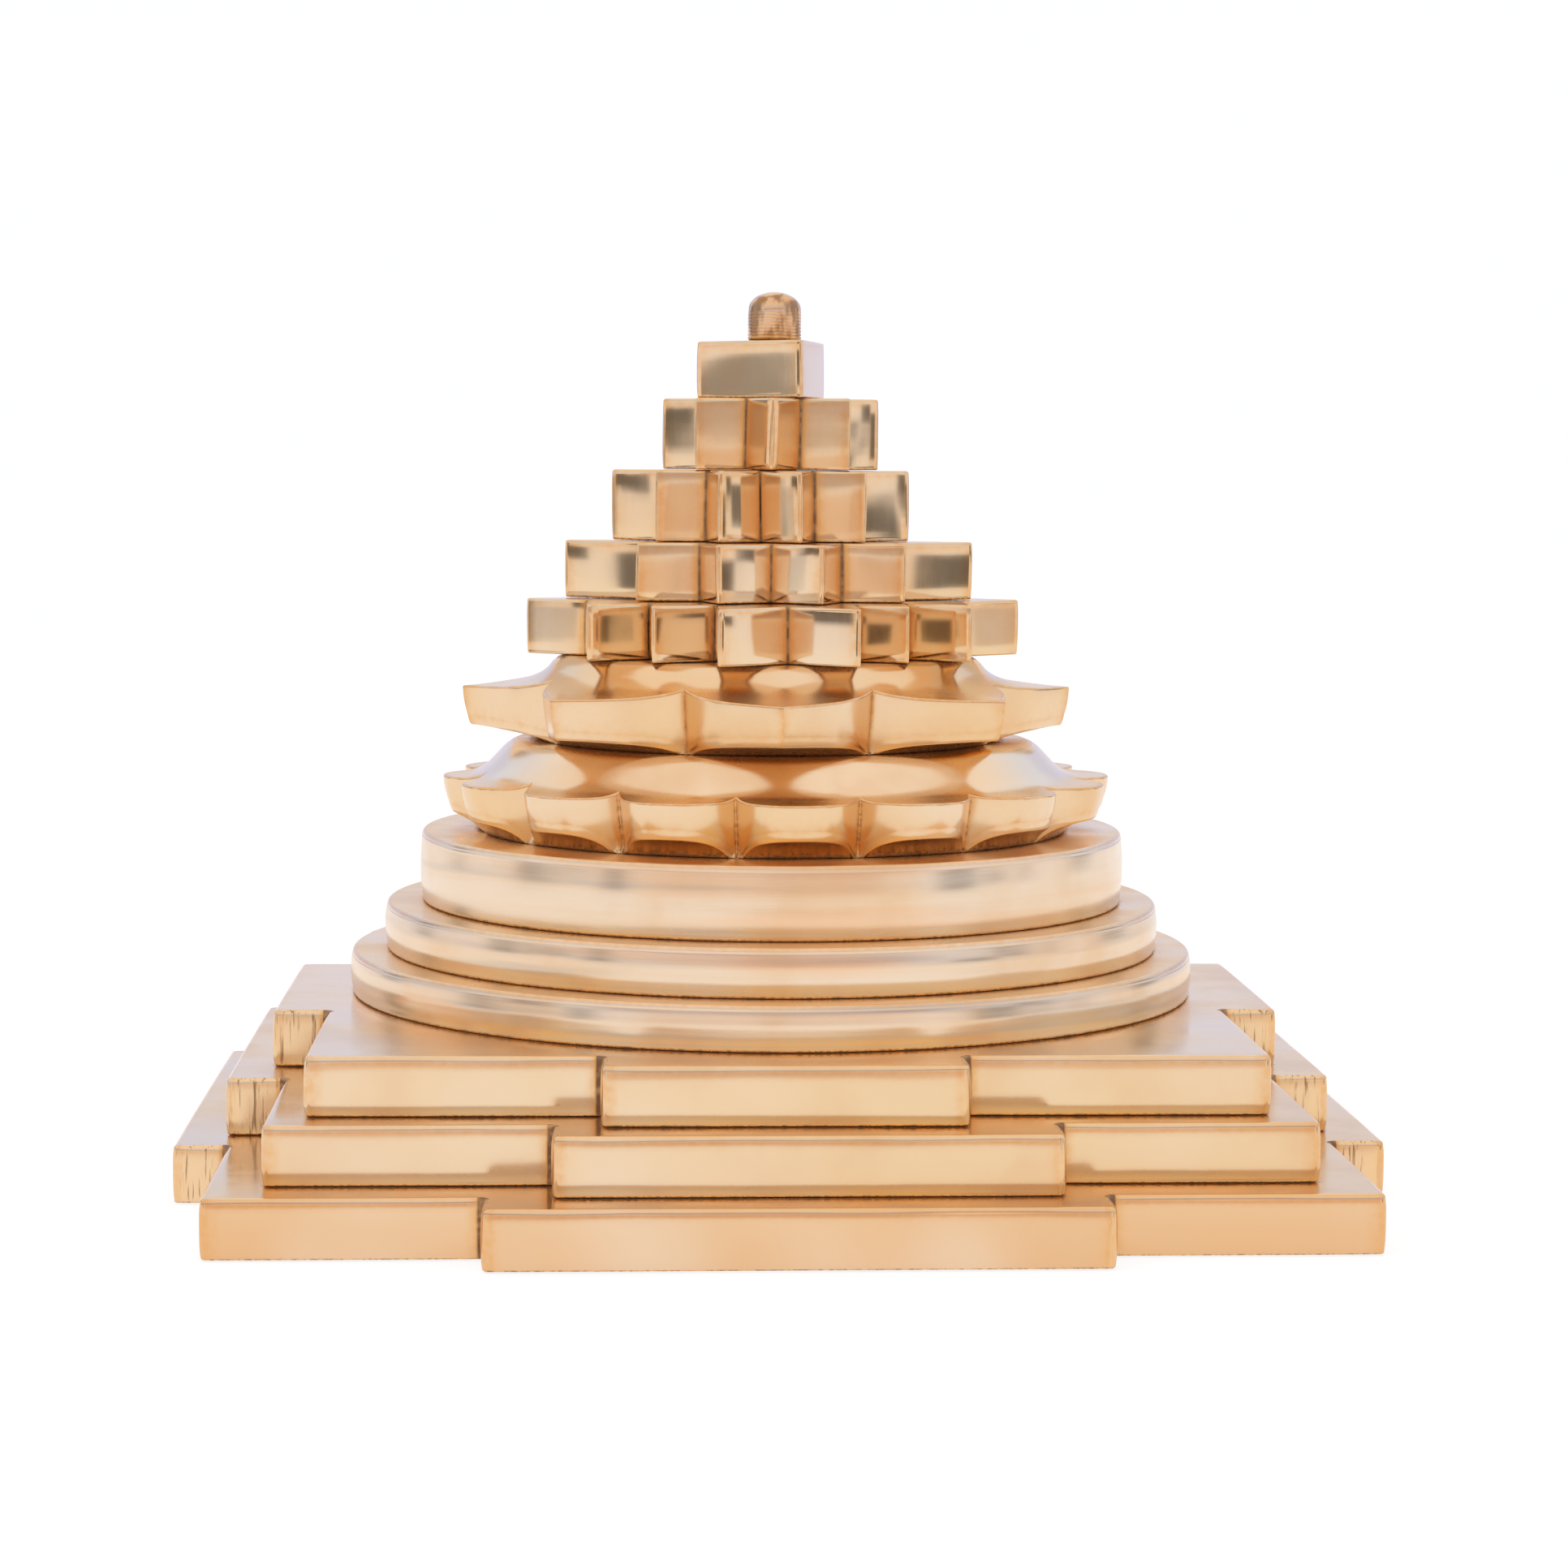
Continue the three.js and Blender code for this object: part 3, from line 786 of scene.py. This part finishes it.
def brass(
    name,
    base,
    roughness,
    tarnish=0.0,
    streak=(1, 1, 1),
    streak_size=0.5,
    streak_depth=0.3,
    filed=False,
    reflection_banded=False,
    with_sheen=False,
):
    """Polished brass: with a painted orange reflection at its edges, and stain, dirt and painted shade
    in its creases, with fine marks from polishing.

    The marks are streaks, stretched by three factors. Tarnish is how much of a tarnished patch shows.
    Filed metal has file marks, banded metal has bands of painted reflection round it, and paled metal
    has a painted pale sheen on its upper flank.
    """
    material = bpy.data.materials.new(name)
    material.use_nodes = True
    graph = Graph(material.node_tree)
    place = graph.add("TexCoord").outputs["Object"]
    level = graph.add("NewGeometry").outputs["True Normal"]
    flatness = graph.math("ABSOLUTE", graph.add("SeparateXYZ", {0: level}).outputs[2])
    upright = graph.ramp(flatness, 0.9, 0.4)
    ledge = graph.ramp(flatness, 0.85, 1.0)
    cloud = graph.noise(place, CLOUD_SIZE, 3)
    mist = graph.noise(place, MIST_SIZE, 1)
    speck = graph.noise(place, SPECK_SIZE, 3)
    grit = graph.noise(place, GRIT_SIZE, 2)
    lines = graph.noise(place, streak_size, 4, streak)

    # Where stain, dirt and painted shade gather: in the creases of the piece, from its own marks, and as
    # painted shade from occlusion where another piece closes it in.
    openness = graph.add("AmbientOcclusion", {"Distance": SEAM_REACH * MM}, samples=4)
    closeness = graph.ramp(openness.outputs["AO"], 0.85, 0.5)
    seam = graph.times(closeness, graph.ramp(grit, 0.3, 0.65, 0.35, 0.9))
    crease = graph.math("MAXIMUM", graph.attribute("crease"), seam)

    # Clean metal, with painted reflections on its ledges, its edges and the rings' bands, and a painted
    # sheen on a lotus's upper flank.
    foot = graph.ramp(graph.add("SeparateXYZ", {0: place}).outputs[2], RED_TOP * MM, 0)
    colour = graph.mix(foot, base, RED_BRASS)
    # Painted sheen: the upper flank of a lotus tier is painted paler, as if it mirrored more light.
    if with_sheen:
        colour = graph.mix(graph.attribute("painted_sheen"), colour, SHEEN_BRASS)
    # Painted reflection: bands and blushes of cream, olive and peach round the rings stand in for the
    # streaks of surroundings that their turned sides mirror.
    if reflection_banded:
        reflection_bands = graph.noise(place, REFLECTION_BAND_SIZE, 1, REFLECTION_BAND_STRETCH)
        colour = graph.mix(graph.ramp(reflection_bands, 0.5, 0.66, 0.0, 0.6), colour, CREAM_BRASS)
        colour = graph.mix(graph.ramp(reflection_bands, 0.46, 0.32, 0.0, 0.45), colour, OLIVE_REFLECTION_BRASS)
        reflection_blush = graph.noise(place, REFLECTION_BLUSH_SIZE, 1, REFLECTION_BLUSH_STRETCH)
        colour = graph.mix(graph.ramp(reflection_blush, 0.5, 0.62, 0.0, 0.6), colour, PEACH_REFLECTION_BRASS)
    # Painted reflection: faces that lie flat, the ledges, are tinted a deeper amber, as brass mirroring
    # the brass walls beside it.
    colour = graph.mix(ledge, colour, LEDGE_REFLECTION_BRASS)
    colour = graph.mix(graph.ramp(cloud, 0.45, 0.7, 0.0, 0.55), colour, DEEP_BRASS)
    colour = graph.mix(graph.ramp(mist, 0.62, 0.3, 0.0, 0.55), colour, CREAM_BRASS)
    # Painted reflection: the edge marks tint rims, outer corners and petal points orange, standing in
    # for the warm surroundings these edges mirror.
    worn = graph.times(graph.attribute("edge"), graph.ramp(speck, 0.3, 0.7, 0.45, 0.95))
    colour = graph.mix(worn, colour, EDGE_REFLECTION_BRASS)
    if tarnish:
        patches = graph.noise(place, PATCH_SIZE, 3, PATCH_STRETCH)
        colour = graph.mix(graph.ramp(patches, 0.4, 0.6, 0.0, tarnish), colour, TARNISH)
    rough = graph.ramp(lines, 0.3, 0.7, roughness * 0.95, roughness * 1.07)
    worn_ledge = graph.times(ledge, graph.ramp(cloud, 0.35, 0.6, 0.0, 0.12))
    rough = graph.math("ADD", rough, worn_ledge)
    height = graph.times(lines, streak_depth)

    # File marks.
    if filed:
        marks = graph.attribute("filed")
        scores = graph.noise(place, SCORE_SIZE, 3, SCORE_STRETCH)
        colour = graph.mix(graph.times(marks, 0.6), colour, GOLD_BRASS)
        dark = graph.times(marks, graph.ramp(scores, 0.54, 0.7, 0.0, 0.7))
        colour = graph.mix(dark, colour, GRIME_AND_SHADE)
        rough = graph.math("ADD", rough, graph.times(marks, 0.1))
        height = graph.math("ADD", height, graph.times(marks, scores))

    # Stain and dirt with painted shade, in the creases, feet and seams, which take away some of the
    # metal's shine.
    stain_and_shade = graph.times(graph.ramp(crease, 0.1, 0.6), graph.ramp(speck, 0.3, 0.7, 0.6, 0.95))
    colour = graph.mix(stain_and_shade, colour, STAIN_AND_SHADE)
    # Dirt with painted shade: dark brown where the crease and seam marks are strongest.
    dirt_and_shade = graph.times(graph.ramp(crease, 0.55, 1.0), graph.ramp(speck, 0.3, 0.6, 0.5, 0.95))
    colour = graph.mix(dirt_and_shade, colour, GRIME_AND_SHADE)
    rough = graph.math("ADD", rough, graph.times(dirt_and_shade, 0.4), clamp=True)
    dull = graph.math("ADD", graph.times(dirt_and_shade, 0.8), graph.times(stain_and_shade, 0.5))
    metal = graph.math("SUBTRACT", 1.0, dull, clamp=True)

    dents = graph.add(
        "Bump",
        {
            "Strength": 1.0,
            "Distance": DENT_DEPTH * MM,
            "Height": graph.noise(place, DENT_SIZE, 1),
        },
    )
    fine = graph.add(
        "Bump",
        {
            "Strength": 1.0,
            "Distance": MARK_DEPTH * MM,
            "Height": graph.times(height, upright),
            "Normal": dents.outputs[0],
        },
    )
    shader = graph.add(
        "BsdfPrincipled",
        {"Base Color": colour, "Metallic": metal, "Roughness": rough, "Normal": fine.outputs[0]},
    )
    graph.add("OutputMaterial", {"Surface": shader.outputs[0]})
    return material


plate_brass = brass("plate_brass", BRASS, 0.14, filed=True)
ring_brass = brass(
    "ring_brass",
    RING_BRASS,
    0.22,
    streak=(20, 20, 1),
    streak_size=0.3,
    streak_depth=0.6,
    reflection_banded=True,
)
lotus_brass = brass("lotus_brass", LOTUS_BRASS, 0.2, with_sheen=True)
star_brass = brass("star_brass", BRASS, 0.09, streak=(1, 1, 8), streak_depth=0.06)
rod_brass = brass("rod_brass", ROD_BRASS, 0.2, tarnish=0.85, streak=(8, 8, 1), streak_size=0.3)
hardware_brass = brass("hardware_brass", HARDWARE_BRASS, 0.35)

for node in PLATES:
    add_piece(flat_piece(node, PLATE_BEVEL, PLATE_FINISH), node, plate_brass)
for node in RINGS:
    add_piece(round_step(node), node, ring_brass)
for spec in (LOTUS_16, LOTUS_8):
    add_piece(lotus_piece(spec), spec["node"], lotus_brass)
for node in STARS:
    add_piece(flat_piece(node, STAR_BEVEL, STAR_FINISH), node, star_brass)
add_piece(rod_piece(), "bindu_tie_rod", rod_brass)
for node in ("washer", "nut"):
    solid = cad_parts[node]
    solid.data.materials.clear()
    solid.data.materials.append(hardware_brass)


def cut_pocket(piece):
    """Opens the pocket for the nut in the underside of the lowest plate."""
    bpy.ops.mesh.primitive_cylinder_add(
        vertices=POCKET_STEPS,
        radius=POCKET_RADIUS * MM,
        depth=2 * POCKET_DEPTH * MM,
    )
    cutter = bpy.context.object
    opening = piece.modifiers.new("pocket", "BOOLEAN")
    opening.operation = "DIFFERENCE"
    opening.object = cutter
    bpy.context.view_layer.objects.active = piece
    bpy.ops.object.modifier_apply(modifier=opening.name)
    bpy.data.objects.remove(cutter)


cut_pocket(bpy.data.objects["bhupura_bottom_finish"])

# The camera.
yaw, pitch, roll = (math.radians(angle) for angle in (CAMERA_YAW, CAMERA_PITCH, CAMERA_ROLL))
forward = Vector((
    math.sin(yaw) * math.cos(pitch),
    math.cos(yaw) * math.cos(pitch),
    -math.sin(pitch),
))
level_right = Vector((math.cos(yaw), -math.sin(yaw), 0))
level_up = level_right.cross(forward)
right = level_right * math.cos(roll) + level_up * math.sin(roll)
up = level_up * math.cos(roll) - level_right * math.sin(roll)
camera = bpy.data.objects.new("camera", bpy.data.cameras.new("camera"))
bpy.context.scene.collection.objects.link(camera)
aim = Matrix((right, up, -forward)).transposed().to_4x4()
camera.matrix_world = Matrix.Translation(Vector(CAMERA_PLACE) * MM) @ aim
camera.data.sensor_width = SENSOR_WIDTH
camera.data.lens = CAMERA_LENS
camera.data.clip_start = 0.01
bpy.context.scene.camera = camera

# The floor.
bpy.ops.mesh.primitive_circle_add(
    vertices=FLOOR_STEPS,
    radius=FLOOR_RADIUS * MM,
    fill_type="NGON",
    location=(0, 0, -FLOOR_DROP * MM),
)
floor = bpy.context.object
floor.name = "floor"
white = bpy.data.materials.new("floor_white")
white.use_nodes = True
graph = Graph(white.node_tree)
paper = graph.add("BsdfDiffuse", {"Color": (*FLOOR_WHITE, 1)}).outputs[0]
glow = graph.add("Emission", {"Color": (1, 1, 1, 1), "Strength": GLOW_STRENGTH}).outputs[0]
rays = graph.add("LightPath").outputs
seen = graph.math("MAXIMUM", rays["Is Camera Ray"], rays["Is Glossy Ray"])
seen = graph.math("MAXIMUM", seen, rays["Is Transmission Ray"])
lit = graph.add("MixShader", {0: graph.times(seen, FLOOR_GLOW), 1: paper, 2: glow})
graph.add("OutputMaterial", {"Surface": lit.outputs[0]})
floor.data.materials.append(white)

# Soft panels stand round the stack, out of the camera's sight, for the polished faces to mirror. Each
# has its bearing from the camera's own, positive to the right, its width in degrees, the heights of
# its foot and top, its strength and its colour. They fade out towards their edges.
PANEL_DISTANCE = 700
PANEL_STEP = 3
LEAST_PANEL_STEPS = 8
PANEL_FADE = (0.5, 0.32)
GREY = (0.19, 0.185, 0.19)
BROWN = (0.36, 0.2, 0.12)
PEACH = (0.88, 0.66, 0.5)
LAVENDER = (0.45, 0.42, 0.7)
PANELS = (
    (180, 120, 30, 300, 0.35, LAVENDER),
    (-119, 13, 0, 300, 0.8, GREY),
    (-81, 12, -10, 145, 0.75, GREY),
    (-73, 8, 0, 90, 0.35, GREY),
    (-68, 9, 78, 160, 1.0, GREY),
    (-62, 10, 72, 155, 1.0, GREY),
    (-49, 8, -80, 130, 1.0, GREY),
    (0, 80, -30, 105, 0.75, PEACH),
    (3, 13, 0, 110, 0.4, BROWN),
    (59, 15, -80, 98, 1.0, GREY),
    (68.5, 6, 70, 160, 1.0, GREY),
    (74, 7, 45, 115, 1.0, GREY),
    (86, 9, 0, 110, 0.4, BROWN),
    (116, 16, 0, 200, 0.8, GREY),
    (0, 110, 105, 240, 0.55, BROWN),
)


def panel_material(strength, colour):
    """A plain glow, strongest in the middle of the panel and clear at its edges."""
    material = bpy.data.materials.new("panel")
    material.use_nodes = True
    graph = Graph(material.node_tree)
    shade = strength
    for name in ("across", "up"):
        far = graph.math("ABSOLUTE", graph.math("SUBTRACT", graph.attribute(name), 0.5))
        shade = graph.times(shade, graph.ramp(far, *PANEL_FADE))
    clear = graph.add("BsdfTransparent").outputs[0]
    plain = graph.add("Emission", {"Color": (*colour, 1), "Strength": 1.0}).outputs[0]
    mixed = graph.add("MixShader", {0: shade, 1: clear, 2: plain})
    graph.add("OutputMaterial", {"Surface": mixed.outputs[0]})
    return material


def add_panel(name, bearing, width, foot, top, strength, colour):
    """Part of an upright cylinder round the stack."""
    middle = math.atan2(CAMERA_PLACE[1], CAMERA_PLACE[0]) + math.radians(bearing)
    steps = max(LEAST_PANEL_STEPS, round(width / PANEL_STEP))
    reach = PANEL_DISTANCE * MM
    points, across, up, faces = [], [], [], []
    for k in range(steps + 1):
        angle = middle + math.radians(width) * (k / steps - 0.5)
        for share in (0, 0.5, 1):
            height = (foot + (top - foot) * share) * MM
            points.append((reach * math.cos(angle), reach * math.sin(angle), height))
            across.append(k / steps)
            up.append(share)
    for k in range(steps):
        for i in (3 * k, 3 * k + 1):
            faces.append((i, i + 3, i + 4, i + 1))
    mesh = bpy.data.meshes.new(name)
    mesh.from_pydata(points, [], faces)
    for mark, values in (("across", across), ("up", up)):
        mesh.attributes.new(mark, "FLOAT", "POINT").data.foreach_set("value", values)
    mesh.materials.append(panel_material(strength, colour))
    panel = bpy.data.objects.new(name, mesh)
    bpy.context.scene.collection.objects.link(panel)
    panel.visible_camera = False
    panel.visible_shadow = False


for i, panel in enumerate(PANELS):
    add_panel(f"panel_{i}", *panel)

# A white room, bluer behind the stack and above the horizon, and warm overhead.
ROOM_WHITE = (1, 1, 1.06)
BEHIND_WHITE = (1, 1.04, 1.2)
BLUE_SKY = (0.8, 0.92, 1.15)
WARM_CEILING = (1.02, 0.95, 0.88)
world = bpy.data.worlds.new("room")
world.use_nodes = True
bpy.context.scene.world = world
graph = Graph(world.node_tree)
toward = graph.add("SeparateXYZ", {0: graph.add("TexCoord").outputs["Generated"]}).outputs
room = graph.mix(graph.ramp(toward[1], 0.1, 0.7), ROOM_WHITE, BEHIND_WHITE)
sky = graph.mix(graph.ramp(toward[2], 0.12, 0.2), room, BLUE_SKY)
sky = graph.mix(graph.ramp(toward[2], 0.35, 0.7), sky, WARM_CEILING)
light = graph.add("Background", {"Color": sky, "Strength": 1.0})
graph.add("OutputWorld", {"Surface": light.outputs[0]})

# One soft lamp overhead, which the metal doesn't mirror, for the shadow on the floor.
LAMP_PLACE = (-250, -150, 1100)
LAMP_TARGET = (0, 0, 40)
LAMP_SIZE = 1000
LAMP_POWER = 2.5
LAMP_COLOUR = (0.95, 0.97, 1.0)
lamp = bpy.data.lights.new("overhead", "AREA")
lamp.shape = "DISK"
lamp.size = LAMP_SIZE * MM
lamp.energy = LAMP_POWER
lamp.color = LAMP_COLOUR
holder = bpy.data.objects.new("overhead", lamp)
bpy.context.scene.collection.objects.link(holder)
holder.location = Vector(LAMP_PLACE) * MM
holder.rotation_mode = "QUATERNION"
holder.rotation_quaternion = (Vector(LAMP_TARGET) * MM - holder.location).to_track_quat("-Z", "Y")
holder.visible_glossy = False

bpy.context.scene.view_settings.view_transform = "Standard"
